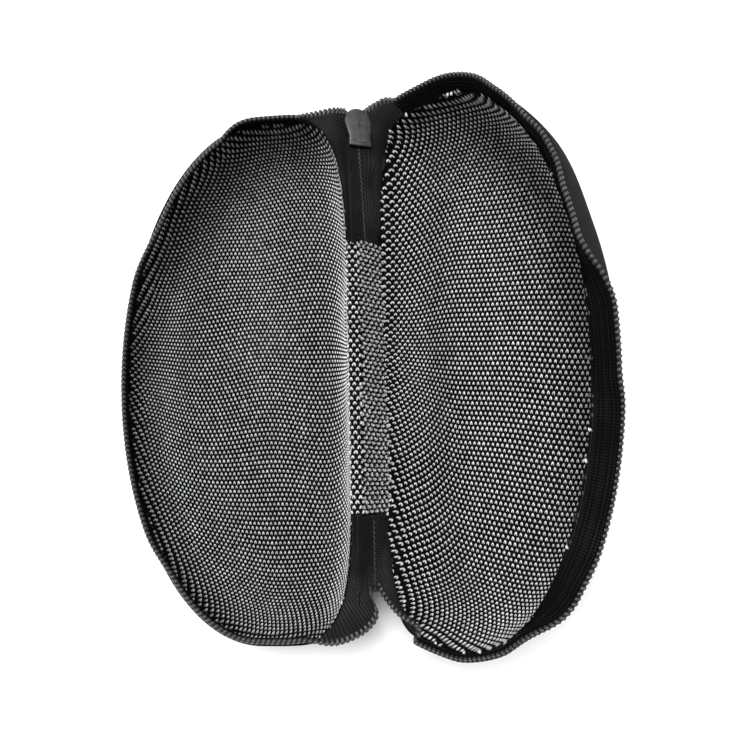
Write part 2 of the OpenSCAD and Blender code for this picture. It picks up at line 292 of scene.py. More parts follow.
def bowl_layer(outer, inner, depths, count, steps, roll=0.0, ripple=None):
    """A moulded layer of a bowl, as rows of points: up its outside, over the lip and down its inside
    to the floor's middle. outer and inner are its faces at the rim and at full thickness. The map is
    the flat cloth before moulding. Also gives the number of the first inside row."""
    points, outward = rim_at(np.linspace(0, RIM_LENGTH, count + 1))
    middle = np.array([BOWL_MIDDLE, 0.0])
    wall = list(np.linspace(0, FLOOR_STEP, steps))
    stations = [("outer", k) for k in wall[::-1]] + [("outer", -0.5), ("outer", -1)]
    stations += [("lip", t) for t in (0.2, 0.4, 0.6, 0.8)]
    stations += [("inner", -1), ("inner", -0.5)] + [("inner", k) for k in wall]
    rows, maps = [], []
    for side, k in stations:
        if side == "lip":
            a = bowl_ring(points, outward, -1, *outer, depths[0])
            b = bowl_ring(points, outward, -1, *inner, depths[1])
            ring = a + (b - a) * k
            ring[:, 2] += 0.3 * math.sin(math.pi * k) * abs(outer[0] - inner[0])
        else:
            faces, depth = (outer, depths[0]) if side == "outer" else (inner, depths[1])
            ring = bowl_ring(points, outward, k, *faces, depth)
            if side == "inner" and roll:
                # the cloth's edge is rolled over the foam's rounded rim
                ring[:, :2] += outward * 0.4 * roll * (1 - smooth((k + 1) / 1.3))
        below = np.clip((ring[:, 2] + depths[1]) / depths[1], 0, 1.1)
        away = ring[:, :2] - middle
        away = away / (np.linalg.norm(away, axis=1)[:, None] + 1e-9)
        maps.append(ring[:, :2] + away * (below * (1.5 - 0.5 * below) * FLAT_REACH)[:, None])
        rows.append(ring)
    ends = [np.tile([BOWL_MIDDLE, 0, -d], (count + 1, 1)) for d in depths]
    under = [ends[0] + (rows[0] - ends[0]) * t for t in (0, 0.3, 0.6)]
    over = [rows[-1] + (ends[1] - rows[-1]) * t for t in np.linspace(0, 1, 14)[1:]]
    first_inside = len(under) + steps + 5  # past the outside, its edge and most of the lip
    rows = np.array(under + rows + over)
    maps = np.array([r[:, :2] for r in under] + maps + [r[:, :2] for r in over])
    if ripple is not None:
        rows[first_inside:] = ripple(rows[first_inside:])
    return rows, maps, first_inside


def sums(tree, operation, first, second=None, third=None):
    """One math node; each term is a number or another node's output."""
    node = tree.nodes.new("ShaderNodeMath")
    node.operation = operation
    for place, value in enumerate((first, second, third)):
        if value is not None:
            set_input(tree, node.inputs[place], value)
    return node.outputs[0]


def blend_colors(tree, amount, first, second):
    node = tree.nodes.new("ShaderNodeMix")
    node.data_type = "RGBA"
    set_input(tree, node.inputs["Factor"], amount)
    for socket, value in ((node.inputs[6], first), (node.inputs[7], second)):
        set_input(tree, socket, value if isinstance(value, bpy.types.NodeSocket) else (*value, 1))
    return node.outputs[2]


def map_axes(tree):
    """The two directions of the piece's own map."""
    parts = tree.nodes.new("ShaderNodeSeparateXYZ")
    tree.links.new(tree.nodes.new("ShaderNodeUVMap").outputs[0], parts.inputs[0])
    return parts.outputs[0], parts.outputs[1]


def add_bump(tree, shader, height, distance, strength=1.0):
    node = tree.nodes.new("ShaderNodeBump")
    node.inputs["Strength"].default_value = strength
    node.inputs["Distance"].default_value = distance
    tree.links.new(height, node.inputs["Height"])
    tree.links.new(node.outputs[0], shader.inputs["Normal"])


def plain_weave(tree, shader, thread, pitch, dark, light, depth):
    """Over-and-under threads on the piece's own map, which is in millimetres, with painted shade in the
    gaps between the threads.
    """
    waves = [
        sums(tree, "SINE", sums(tree, "MULTIPLY", way, math.pi / spacing))
        for way, spacing in zip(map_axes(tree), pitch)
    ]
    height = sums(tree, "ABSOLUTE", sums(tree, "MULTIPLY", *waves))
    tint = step_up(tree, noise(tree, 70, 4), 0.35, 0.75)
    yarn = blend_colors(tree, tint, dark, light)
    # painted shade: the gaps between the threads take thread times the dark colour
    gap_shade_mask = step_up(tree, height, 0.1, 0.7)
    color = blend_colors(tree, gap_shade_mask, tuple(c * thread for c in dark), yarn)
    tree.links.new(color, shader.inputs["Base Color"])
    add_bump(tree, shader, height, depth * MM, 0.8)


def cover_cloth():
    material, tree, shader = new_material("cover_cloth", (0.006, 0.006, 0.007), 0.85, specular=0.1)
    shader.inputs["Sheen Weight"].default_value = 0.01
    shader.inputs["Sheen Roughness"].default_value = 0.5
    plain_weave(tree, shader, 0.35, (0.42, 0.42), (0.004, 0.004, 0.0045), (0.009, 0.009, 0.010), 0.12)
    return material


cover_material = cover_cloth()
HALVES = (("base", in_base), ("lid", in_lid))
for half, place in HALVES:
    rows, maps, _ = bowl_layer(
        (COVER_OUT, COVER_FULL), (RIM_FACE, RIM_FACE + 0.2), (BOWL_DEPTH, FOAM_DEPTH), count=280, steps=30
    )
    if half == "lid":  # the soft front bulges a little towards the slider end
        bulge = smooth((rows[..., 1] - 34) / 26) * (1 - smooth((rows[..., 1] - 72) / 9))
        bulge = bulge * smooth((rows[..., 0] - 36) / 8) * smooth((0.5 - rows[..., 2]) / 3)
        bulge = bulge * smooth((rows[..., 2] + BOWL_DEPTH) / 12)
        rows[..., 0] += 1.3 * bulge
        rows[..., 1] += 1.3 * bulge
    cover = shaped_grid(half + "_cover_cloth", place(rows), maps, cover_material)
    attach(cover, half)
    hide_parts(half + "_outer_cover")

# ---------------------------------------------------------------------------
# The foam shells between the cloths.
# Black cross-linked foam, 2 mm thick, which the mould sets to the bowl's shape.
# ---------------------------------------------------------------------------


def black_foam():
    material, tree, shader = new_material("black_foam", (0.03, 0.03, 0.03), 0.9, specular=0.2)
    cells = tree.nodes.new("ShaderNodeTexVoronoi")
    tree.links.new(tree.nodes.new("ShaderNodeTexCoord").outputs["Object"], cells.inputs["Vector"])
    cells.inputs["Scale"].default_value = 3000
    # painted shade: each foam cell is darker at its middle, where the bump sinks into a pore
    shade = blend_colors(tree, cells.outputs["Distance"], (0.02, 0.02, 0.02), (0.05, 0.05, 0.05))
    tree.links.new(shade, shader.inputs["Base Color"])
    add_bump(tree, shader, cells.outputs["Distance"], 0.05 * MM, 0.5)
    return material


foam_material = black_foam()
GAP = 0.02  # between the foam and the cloths on it
for half, place in HALVES:
    rows, maps, _ = bowl_layer(
        (RIM_FACE - GAP, RIM_FACE + 0.2 - GAP), (-RIM_FACE + GAP, LINING_BACK + GAP),
        (FOAM_DEPTH - GAP, LINING_DEPTH + GAP), count=160, steps=16,
    )
    rows[..., 2] -= 0.4 * smooth((rows[..., 2] + 4) / 4)
    foam = shaped_grid(half + "_foam_core", place(rows), maps, foam_material)
    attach(foam, half)
    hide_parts(half + "_foam_shell")

# ---------------------------------------------------------------------------
# The mesh linings.
# Warp-knitted net: a black ground cloth with silver-grey yarn drawn up through it
# in staggered drops. Hot moulding stretches it, so it ripples on the walls.
# ---------------------------------------------------------------------------
# one drop, as shares of a cell: its outline, its crest with heights, and the fork at its foot
DROP_OUTER = [
    (-0.31, -0.41), (-0.3, -0.08), (-0.18, 0.25), (0, 0.38), (0.18, 0.25), (0.3, -0.08), (0.31, -0.41),
]
DROP_CREST = [
    (-0.16, -0.36, 0.09), (-0.13, -0.02, 0.19), (0, 0.16, 0.18), (0.13, -0.02, 0.19), (0.16, -0.36, 0.09),
]
DROP_INNER = [(-0.05, -0.41), (0, -0.14), (0.05, -0.41)]
DROP_FOOT, DROP_TOP = -0.03, 0.19
DROP_FACES = [
    (0, 7, 8, 1), (1, 8, 9, 2), (2, 9, 3), (3, 9, 4), (4, 9, 10, 5), (5, 10, 11, 6), (7, 12, 13, 8),
    (8, 13, 9), (9, 13, 10), (10, 13, 14, 11), (0, 12, 7), (11, 14, 6), (0, 1, 2, 3, 13, 12),
    (6, 14, 13, 3, 4, 5),
]


def ground_cloth():
    material, tree, shader = new_material("ground_cloth", (0.004, 0.004, 0.004), 0.9, specular=0.1)
    plain_weave(tree, shader, 0.4, (0.5, 0.5), (0.002, 0.002, 0.0025), (0.007, 0.007, 0.0075), 0.1)
    return material


def silver_yarn(name, foot, crown):
    """Silver yarn, with painted shade at the edge of each drop where it meets the ground: the colour runs
    from foot there to crown on the drop's top.
    """
    material, tree, shader = new_material(name, crown, 0.45, specular=0.5)
    tone, height = map_axes(tree)
    # painted shade: darker towards each drop's edge, where it meets the ground
    color = blend_colors(tree, step_up(tree, height, 0.05, 0.9), foot, crown)
    pull = step_up(tree, tone, 0.0, 1.0, 0.78, 1.0)  # no two drops are quite as bright
    shade = tree.nodes.new("ShaderNodeMix")
    shade.data_type = "RGBA"
    shade.blend_type = "MULTIPLY"
    shade.inputs["Factor"].default_value = 1
    tree.links.new(color, shade.inputs[6])
    grey = tree.nodes.new("ShaderNodeCombineColor")
    for k in range(3):
        tree.links.new(pull, grey.inputs[k])
    tree.links.new(grey.outputs[0], shade.inputs[7])
    tree.links.new(shade.outputs[2], shader.inputs["Base Color"])
    add_bump(tree, shader, noise(tree, 5200, 3), 0.04 * MM, 0.5)
    return material


def net_drops(name, cloth, maps, inside, material, cell, row, turn, warp, loose, seed):
    """The drawn yarn, laid out as flat cloth and carried onto the moulded one. cloth and maps are
    rows of places and of their points on the flat cloth; inside is a point that the drops face.
    loose(row) says how much a drop near that row has worked out of line."""
    rows, columns = maps.shape[:2]
    flat = np.concatenate([maps, np.zeros((rows, columns, 1))], axis=2).reshape(-1, 3)
    solid = cloth.reshape(-1, 3)
    quad = np.arange((rows - 1) * columns).reshape(rows - 1, columns)[:, :-1].ravel()
    triangles = np.concatenate([
        np.stack([quad, quad + 1, quad + columns], 1),
        np.stack([quad + 1, quad + columns + 1, quad + columns], 1),
    ])
    quad_row = np.tile(quad // columns, 2)
    tree = BVHTree.FromPolygons(flat.tolist(), triangles.tolist())
    flat_v = [Vector(p) for p in flat]
    solid_v = [Vector(p) for p in solid]
    chance = np.random.default_rng(seed)
    low, high = maps.reshape(-1, 2).min(0), maps.reshape(-1, 2).max(0)
    spread = max(high - low) / 2 + 12
    half_u, half_v = int(spread / cell) + 1, int(spread / row) + 1
    shape = [(x, y, DROP_FOOT) for x, y in DROP_OUTER] + DROP_CREST
    shape = np.array(shape + [(x, y, DROP_FOOT) for x, y in DROP_INNER])
    vertices, faces, corner_uv = [], [], []
    c, s = math.cos(turn), math.sin(turn)
    centre = (low + high) / 2
    for j in range(-half_v, half_v + 1):
        for i in range(-half_u, half_u + 1):
            u, v = (i + 0.5 * (j % 2)) * cell, j * row
            spot = np.array([centre[0] + u * c - v * s, centre[1] + u * s + v * c])
            spot = spot + warp(spot)
            tone = chance.random()
            spin, grow = chance.normal(0, 0.07), 1 + chance.normal(0, 0.05)
            if not (low[0] < spot[0] < high[0] and low[1] < spot[1] < high[1]):
                continue
            near, _, index, away = tree.find_nearest((spot[0], spot[1], 0))
            if away > 0.25:
                continue
            slack = loose(quad_row[index])
            spin, grow = spin * (1 + 7 * slack), grow * (1 + 0.1 * slack)
            cs, sn = math.cos(turn + spin), math.sin(turn + spin)
            base = len(vertices)
            corner = triangles[index]
            a, b, d = (flat_v[k] for k in corner)
            e, f, g = (solid_v[k] for k in corner)
            normal = (f - e).cross(g - e).normalized()
            if normal.dot(inside - e) < 0:
                normal = -normal
            for x, y, h in shape:
                x, y = x * cell * grow, y * row * grow
                p = Vector((spot[0] + x * cs - y * sn, spot[1] + x * sn + y * cs, 0))
                q = barycentric_transform(p, a, b, d, e, f, g)
                vertices.append(q + normal * ((h + 0.12 * slack * (h > 0)) * cell * MM))
            faces += [[base + k for k in face] for face in DROP_FACES]
            # how far each point of a drop is out of the painted shade at its edge, for the yarn's colour
            out_of_shade = np.clip(shape[:, 2] / DROP_TOP, 0, 1) * (1.15 - 0.5 * shape[:, 1])
            corner_uv += [(tone, out_of_shade[k]) for face in DROP_FACES for k in face]
    mesh = bpy.data.meshes.new(name)
    mesh.from_pydata(vertices, [], faces)
    mesh.uv_layers.new(name="yarn").data.foreach_set("uv", np.array(corner_uv).ravel())
    mesh.materials.append(material)
    net = bpy.data.objects.new(name, mesh)
    bpy.context.collection.objects.link(net)
    deselect()
    net.select_set(True)
    bpy.context.view_layer.objects.active = net
    bpy.ops.object.mode_set(mode="EDIT")
    bpy.ops.mesh.select_all(action="SELECT")
    bpy.ops.mesh.normals_make_consistent(inside=False)
    bpy.ops.object.mode_set(mode="OBJECT")
    bpy.ops.object.shade_smooth_by_angle(angle=math.radians(70))
    return net


def ripples(strength, seed):
    """The lining stands off the foam in soft folds, mostly on the walls."""
    phase = np.random.default_rng(seed).uniform(0, 2 * math.pi, 6)

    def ripple(inner):
        across, along, up = inner[..., 0], inner[..., 1], inner[..., 2]
        fold = (
            np.sin(along / 7.5 + phase[0] + across / 16)
            + 0.7 * np.sin(along / 4.6 + phase[1] - across / 11)
            + 0.8 * np.sin(across / 8.0 + phase[2] + along / 30)
        )
        height = np.clip((up + INSIDE_DEPTH) / INSIDE_DEPTH, 0, 1)
        amount = strength * (0.45 + 2.4 * height * (1 - height)) * smooth((1 - height) * 5)
        inward = np.array([BOWL_MIDDLE, 0, 0.0]) - inner
        inward /= np.linalg.norm(inward, axis=-1)[..., None]
        return inner + inward * (amount * (fold + 2.2) / 2)[..., None]

    return ripple


def drift(size, seed):
    """How far the knitted rows have been drawn out of line, at a spot on the flat cloth."""
    phase = np.random.default_rng(seed).uniform(0, 2 * math.pi, 4)

    def warp(spot):
        u, v = spot
        return size * np.array([
            0.8 * math.sin(v / 13 + phase[0]) + 0.5 * math.sin(u / 9 + phase[1]),
            math.sin(u / 10 + phase[2] + v / 31) + 0.6 * math.sin(u / 5.5 + phase[3] - v / 17),
        ])

    return warp


def loose_edge(row):
    return max(0.0, 1.0 - row / 3)


ground_material = ground_cloth()
yarn_material = silver_yarn("silver_yarn", (0.03, 0.03, 0.031), (0.98, 0.98, 0.98))
# painted shade: the base's yarn is a darker copy of the lid's silver yarn
shaded_base_yarn_material = silver_yarn("shaded_silver_yarn", (0.03, 0.03, 0.031), (0.9, 0.905, 0.91))
NETS = (
    ("base", in_base, 0.5, 1.5, 1.52, 0.0, 0.9, shaded_base_yarn_material),
    ("lid", in_lid, 0.12, 1.72, 1.58, math.radians(-8), 0.25, yarn_material),
)
for half, place, strength, cell, row, turn, drawn, material in NETS:
    rows, maps, first = bowl_layer(
        (-RIM_FACE, LINING_BACK), (LINING_RIM, LINING_BACK - LINING_T), (LINING_DEPTH, INSIDE_DEPTH),
        count=280, steps=40, roll=1.0, ripple=ripples(strength, 4),
    )
    lining = shaped_grid(half + "_net_lining", place(rows), maps, ground_material)
    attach(lining, half)
    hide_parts(half + "_lining")
    inside = Vector(place(np.array([BOWL_MIDDLE, 0, 5.0])))
    net = net_drops(half + "_net_yarn", place(rows[first - 2:]), maps[first - 2:], inside, material,
                    cell, row, turn, drift(drawn, 7), loose_edge, 11)
    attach(net, half)

# ---------------------------------------------------------------------------
# The zipper tapes round both rims.
# Black woven tape, sewn between cover and lining, standing 6 mm above the rim. It
# leans in or out as the coil pulls it, and the lid's falls open along the front.
# ---------------------------------------------------------------------------
CORNER_AT = 14  # where the tape leaves the rim for the slider, across the bowl
COLLAR_FROM = float(np.interp(CORNER_AT, RIM[:RIM_STEPS, 0], TRAVELLED[:RIM_STEPS]))
COIL_W, COIL_T, COIL_PITCH = 2.8, 1.6, 1.49
COIL_OUT, COIL_UP = 0.75, COLLAR - COIL_W / 2 + 0.25  # sewn down tight, it sinks into the cloth


def base_lean(along):
    return np.radians(-20 - 24 * smooth((along - 28) / 22) - 14 * smooth((-48 - along) / 14)
                      + 26 * smooth((along - 75) / 5) + 4 * smooth((-75 - along) / 5))


def lid_fall(along):
    """How far the lid's tape has fallen open, from 0 upright to 1 lying outward."""
    return smooth((26 - along) / 20) - smooth((-58 - along) / 16)


def lid_lean(along):
    droop = smooth((-8 - along) / 12) - smooth((-44 - along) / 14)
    return np.radians(16 + 60 * lid_fall(along) + 30 * droop + 12 * smooth((along - 36) / 10)
                      - 12 * smooth((along - 52) / 8) + 10 * smooth((along - 70) / 6)
                      - 22 * smooth((-74 - along) / 6))


TAPE_TALL = COLLAR - 0.9
SEWN_FOOT = -1.4  # how far the tape goes down between the cloths


def collar_frame(travel, lean_of, thick, tall):
    """Places on the standing tape: thick outward from its middle, tall up from the rim."""
    p, outward = rim_at(travel)
    lean = lean_of(p[..., 1])
    foot = rim_level(p[..., 0]) + 0.5
    low_end = smooth((-62 - p[..., 1]) / 12)
    share = np.clip(tall / TAPE_TALL, 0, None)
    if lean_of is lid_lean:
        tall = tall + 1.2 * lid_fall(p[..., 1]) * np.minimum(share, 1)
        tall = tall * (1 - 0.42 * low_end)
    else:
        tall = tall * (1 - 0.12 * low_end)
    out = thick * np.cos(lean) + tall * np.sin(lean)
    up = tall * np.cos(lean) - thick * np.sin(lean)
    return np.concatenate([p + outward * out[..., None], (foot + up)[..., None]], axis=-1)


def capped(rows):
    """Rows of a long piece, each end closed to a point in its middle."""
    first, last = (np.repeat(rows[k].mean(0)[None, None], rows.shape[1], axis=1) for k in (0, -1))
    return np.concatenate([first, rows, last])


def end_twice(line):
    """Places along a capped piece, for its map."""
    return np.concatenate([line[:1], line, line[-1:]])


def flat_map(rows, columns):
    return np.stack(np.broadcast_arrays(rows, columns), axis=-1)


def tape_cloth(name, dark, light, gloss):
    material, tree, shader = new_material(name, dark, 0.85, specular=gloss)
    plain_weave(tree, shader, 0.3, (0.75, 0.8), dark, light, 0.25)
    return material


# painted shade: the standing rim tapes take a darker copy of the tape cloth than the corner and chain tapes
shaded_rim_tape_material = tape_cloth("shaded_rim_tape_cloth", (0.003, 0.0034, 0.0034), (0.01, 0.0105, 0.0105), 0.06)
tape_material = tape_cloth("tape_cloth", (0.012, 0.012, 0.0125), (0.05, 0.05, 0.051), 0.14)
for (half, place), lean_of in zip(HALVES, (base_lean, lid_lean)):
    travel = np.linspace(COLLAR_FROM, RIM_LENGTH - COLLAR_FROM, 420)
    section = [(-RIM_FACE, SEWN_FOOT)] + [(-RIM_FACE, t) for t in np.linspace(0, TAPE_TALL - 0.2, 6)]
    section += [(-0.15, TAPE_TALL), (0.15, TAPE_TALL)]
    section += [(RIM_FACE, t) for t in np.linspace(TAPE_TALL - 0.2, 0, 6)] + [(RIM_FACE, SEWN_FOOT)]
    section = section + section[:1]
    rows = np.stack([
        collar_frame(travel, lean_of, np.full_like(travel, e), np.full_like(travel, n)) for e, n in section
    ], axis=1)
    for row, (e, n) in enumerate(section):
        if n < 0:  # the sewn foot stays upright between the cloths
            p, outward = rim_at(travel)
            rows[:, row] = np.concatenate(
                [p + outward * e, (rim_level(p[:, 0]) + 0.5 + n)[:, None]], axis=-1)
    maps = flat_map(end_twice(travel)[:, None], travelled(section)[None, :])
    tape = shaped_grid(half + "_tape", place(capped(rows)), maps, shaded_rim_tape_material, 50)
    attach(tape, half)
    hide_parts(half + "_zip_tape")

# ---------------------------------------------------------------------------
# The zipper coils, their core cords and the stitching that holds them.
# One dark nylon monofilament wound in flattened turns 1.5 mm apart over a cord, and
# sewn through it to the edge of the tape.
# ---------------------------------------------------------------------------


def coil_plastic():
    material, tree, shader = new_material("coil_plastic", (0.02, 0.02, 0.021), 0.34, specular=0.5)
    shade = blend_colors(tree, noise(tree, 900, 2), (0.03, 0.03, 0.031), (0.075, 0.075, 0.077))
    tree.links.new(shade, shader.inputs["Base Color"])
    add_bump(tree, shader, noise(tree, 3000, 2), 0.02 * MM, 0.4)
    return material


def wound_cord():
    material, tree, shader = new_material("core_cord", (0.02, 0.02, 0.02), 0.85, specular=0.2)
    along, round_it = map_axes(tree)
    lay = sums(tree, "ADD", sums(tree, "MULTIPLY", along, 9.0), sums(tree, "MULTIPLY", round_it, 2.0))
    strand = sums(tree, "ABSOLUTE", sums(tree, "SINE", lay))
    # painted shade: the cord is darker between its strands, where the bump sinks
    shade = blend_colors(tree, strand, (0.004, 0.004, 0.004), (0.014, 0.014, 0.014))
    tree.links.new(shade, shader.inputs["Base Color"])
    add_bump(tree, shader, strand, 0.05 * MM, 0.6)
    return material


coil_material, cord_material = coil_plastic(), wound_cord()
WIRE_R, CORD_R, THREAD_R, STITCH = 0.55, 0.55, 0.1, 2.1


def tube_rows(path, radius, sides):
    """Rings round a path of points, closed at both ends."""
    ahead = np.gradient(path, axis=0)
    ahead /= np.linalg.norm(ahead, axis=1)[:, None]
    side = np.cross(ahead, [0.31, 0.17, 0.93])
    side /= np.linalg.norm(side, axis=1)[:, None]
    other = np.cross(ahead, side)
    turn = np.linspace(0, 2 * math.pi, sides + 1)
    rings = path[:, None] + radius * (
        side[:, None] * np.cos(turn)[None, :, None] + other[:, None] * np.sin(turn)[None, :, None])
    ends = [np.repeat(path[k][None, None], sides + 1, axis=1) for k in (0, -1)]
    maps = flat_map(end_twice(travelled(path) / MM)[:, None], turn[None, :])
    return np.concatenate([ends[0], rings, ends[1]]), maps


def helix(middle, thick, tall, turns, steps=10):
    """The path of a flattened coil round a line: middle, thick and tall give the line's place, in
    metres, and the coil's two half axes at a share of the way along it."""
    share = np.linspace(0, 1, int(turns * steps) + 1)
    angle = share * turns * 2 * math.pi
    # the inner leg of each turn lies square across the coil
    stepped = share + 0.9 / (2 * math.pi * turns) * np.sin(angle)
    return (middle(stepped) + (COIL_T / 2 - WIRE_R) * MM * np.cos(angle)[:, None] * thick(share)
            + (COIL_W / 2 - WIRE_R) * MM * np.sin(angle)[:, None] * tall(share))


def coil_and_cord(name, middle, thick, tall):
    guess = np.linspace(0, 1, 600)
    run = travelled(middle(guess))
    length = run[-1] / MM
    even = lambda t: np.interp(t, run / run[-1], guess)
    path = helix(lambda t: middle(even(t)), lambda t: thick(even(t)), lambda t: tall(even(t)),
                 round(length / COIL_PITCH))
    coil = shaped_grid(name + "_coil", *tube_rows(path, WIRE_R * MM, 5), coil_material)
    share = np.linspace(0, 1, max(12, int(length / 2)))
    core = middle(share) - 0.4 * MM * tall(share)
    cord = shaped_grid(name + "_cord", *tube_rows(core, CORD_R * MM, 6), cord_material)
    over = middle(share) + 0.5 * MM * tall(share)
    thread = shaped_grid(name + "_outer_cord", *tube_rows(over, CORD_R * MM, 6), cord_material)
    return coil, cord, thread


def unit(v):
    return v / np.linalg.norm(v, axis=-1)[..., None]


for (half, place), lean_of in zip(HALVES, (base_lean, lid_lean)):

    def collar_point(share, thick, tall, place=place, lean_of=lean_of):
        travel = COLLAR_FROM + share * (RIM_LENGTH - 2 * COLLAR_FROM)
        return place(collar_frame(travel, lean_of, np.full_like(share, thick), np.full_like(share, tall)))

    middle = lambda t: collar_point(t, COIL_OUT, COIL_UP)
    coil, cord, thread = coil_and_cord(
        half + "_rim", middle,
        lambda t: unit(collar_point(t, COIL_OUT + 1, COIL_UP) - middle(t)),
        lambda t: unit(collar_point(t, COIL_OUT, COIL_UP + 1) - middle(t)),
    )
    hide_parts(half + "_zip_coil")
    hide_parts(half + "_coil_cord")
    for piece in (coil, cord, thread):
        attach(piece, half)
    stitches = int((RIM_LENGTH - 2 * COLLAR_FROM) / STITCH)
    share = np.linspace(0, 1, stitches * 6 + 1)
    hop = 0.16 * np.abs(np.sin(share * stitches * math.pi)) - 0.05
    travel = COLLAR_FROM + share * (RIM_LENGTH - 2 * COLLAR_FROM)
    for number, tall in enumerate((COLLAR - COIL_W - 0.6, COLLAR - COIL_W + 0.7)):
        line = place(collar_frame(travel, lean_of, -RIM_FACE - hop, np.full_like(share, tall)))
        seam = shaped_grid(f"{half}_stitch_row_{number + 1}", *tube_rows(line, THREAD_R * MM, 4),
                           tape_material)
        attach(seam, half)

# ---------------------------------------------------------------------------
# The spine strip.
# The lid's back wall, sewn to its rim: cover cloth, thin foam and net in one soft
# strip. Its net is left from the edge of the cloth, so its yarn lies loose. Its yarn
# is a grey copy of the silver yarn: painted shade on the strip.
# ---------------------------------------------------------------------------
STRIP_FROM, STRIP_TO = -44, 40
STRIP_ROWS = 57


def along_strip(name, profile, sag, material):
    """A closed profile of (across, up) points in the lid's axes, run along the spine; sag moves
    them with the distance along."""
    along = np.linspace(STRIP_FROM, STRIP_TO, STRIP_ROWS)
    profile = np.array(profile + profile[:1], dtype=float)
    rows = np.empty((STRIP_ROWS, len(profile), 3))
    rows[..., 0] = profile[None, :, 0] + sag(along)[:, None] * (profile[None, :, 0] > 0.3)
    rows[..., 1] = along[:, None]
    rows[..., 2] = profile[None, :, 1]
    maps = flat_map(travelled(profile)[None, :], end_twice(along)[:, None])
    return shaped_grid(name, in_lid(capped(rows)), maps, material, 60)


def strip_profile(near, far, low, high, round_by):
    bend = [(near + (far - near) * (0.5 - 0.5 * math.cos(t)), high - round_by + round_by * math.sin(t))
            for t in np.linspace(0, math.pi, 7)]
    return [(near, low)] + bend + [(far, (low + high) * k) for k in (0.7, 0.5, 0.3)] + [(far, low)]


still = lambda along: 0 * along
puff = lambda along: 0.12 * np.sin(along / 6.0) + 0.08 * np.sin(along / 2.9 + 1)
strip_cover = along_strip("spine_cover_cloth", strip_profile(-COVER_OUT, -RIM_FACE, 0, 12.2, 0.2), still,
                          cover_material)
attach(strip_cover, "lid")
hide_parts("spine_cover")
strip_foam = along_strip("spine_foam_core", strip_profile(-RIM_FACE, 0.25, 0.1, 11.3, 0.2), still,
                         foam_material)
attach(strip_foam, "lid")
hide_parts("spine_foam")
strip_lining = along_strip("spine_net_lining", strip_profile(0.27, 0.85, -0.3, 11.2, 0.25), puff,
                           ground_material)
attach(strip_lining, "lid")
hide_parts("spine_lining")
# painted shade: the strip's yarn is a grey copy of the silver yarn
shaded_strip_yarn_material = silver_yarn("shaded_strip_yarn", (0.02, 0.02, 0.021), (0.5, 0.5, 0.505))
up, along = np.linspace(-0.6, 11.3, 24), np.linspace(STRIP_FROM + 0.3, STRIP_TO - 0.3, 80)
face = np.empty((24, 80, 3))
face[..., 0], face[..., 1], face[..., 2] = 0.86 + puff(along)[None, :], along[None, :], up[:, None]
face_map = flat_map(up[:, None], along[None, :])
strip_yarn = net_drops("spine_net_yarn", in_lid(face), face_map, Vector(in_lid(np.array([20, 0, 6.0]))),
                       shaded_strip_yarn_material, 2.3, 1.36, math.pi, drift(0.5, 3), lambda row: 1.1, 5)
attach(strip_yarn, "lid")

# ---------------------------------------------------------------------------
# The ridge between the two linings.
# A fold of the base's net carried over the spine axis and sewn to the strip. It is
# the soft hinge: stretched tight, so its yarn is pulled wide and flat. Its yarn has
# lighter drop edges than the silver yarn: painted light on the fold's crest.
# ---------------------------------------------------------------------------
RIDGE = (36.0, 25.5)
RIDGE_R = 1.75


def ridge_place(angle, along, proud=0.0):
    """Places on the fold, from its foot on the base at 180 degrees to its foot on the strip."""
    taper = np.minimum(1, np.minimum(along - STRIP_FROM, STRIP_TO - along) / 1.5 + 0.5)
    radius = (RIDGE_R + proud) * (0.9 + 0.1 * taper) + 0.05 * np.sin(along / 2.3)
    x = RIDGE[0] + radius * np.cos(angle)
    z = RIDGE[1] + radius * np.sin(angle) * 0.8
    return np.stack(np.broadcast_arrays(x, along, z), axis=-1) * MM


turn = np.linspace(math.radians(200), math.radians(-22), 16)
along = np.linspace(STRIP_FROM, STRIP_TO, 85)
skin = ridge_place(turn[:, None], along[None, :])
under = ridge_place(turn[::-1, None], along[None, :], -0.5)
rows = np.concatenate([skin, under, skin[:1]])
rows = capped(rows.swapaxes(0, 1)).swapaxes(0, 1)
wide = np.concatenate([turn, turn[::-1], turn[:1]]) * -RIDGE_R
ridge = shaped_grid("ridge_net_fold", rows, flat_map(wide[:, None], end_twice(along)[None, :]),
                    ground_material, 60)
skin_map = flat_map(turn[:, None] * -RIDGE_R, along[None, :])
# painted light: the fold's yarn has lighter drop edges than the silver yarn, for its lit crest
lit_ridge_yarn_material = silver_yarn("lit_ridge_yarn", (0.12, 0.12, 0.12), (0.95, 0.95, 0.95))
ridge_yarn = net_drops("ridge_net_yarn", skin, skin_map, Vector((0.037, 0, 0.2)), lit_ridge_yarn_material,
                       2.15, 1.48, 0, drift(0.12, 9), lambda row: 0.1, 6)
for piece in (ridge, ridge_yarn):
    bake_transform(piece)

# ---------------------------------------------------------------------------
# The closed ends of the zipper, above and below the strip.
# The two tapes lie side by side with their coils meshed on the outside. The ends are
# tucked behind the strip and held by bar tacks; a crimped clip stops the lower end.
# ---------------------------------------------------------------------------
CHAIN_IN = 0.15  # how far the tapes lie inside the lid's back edge
SLIDER_TILT = math.radians(24)
SEAM_LOW, SEAM_HIGH = (42, 7.2), (69, 8.9)  # two places on the upper seam: along, and up the back
CHAIN_LEAN = math.atan2(SEAM_HIGH[1] - SEAM_LOW[1], SEAM_HIGH[0] - SEAM_LOW[0])
BASE_EDGE, LID_EDGE = 13.4, 0.5  # how far up the lid's back the two tapes reach
HALF_CHAIN = 1.15  # from the seam to the middle of either coil
CHAIN_ROWS, CHAIN_COLUMNS = 40, 9


def slider_twist(y, above):
    """The chain turns towards the slider's own tilt near it: how far in, at a height above the seam."""
    return -math.tan(SLIDER_TILT) * above * smooth((y - 60) / 7)


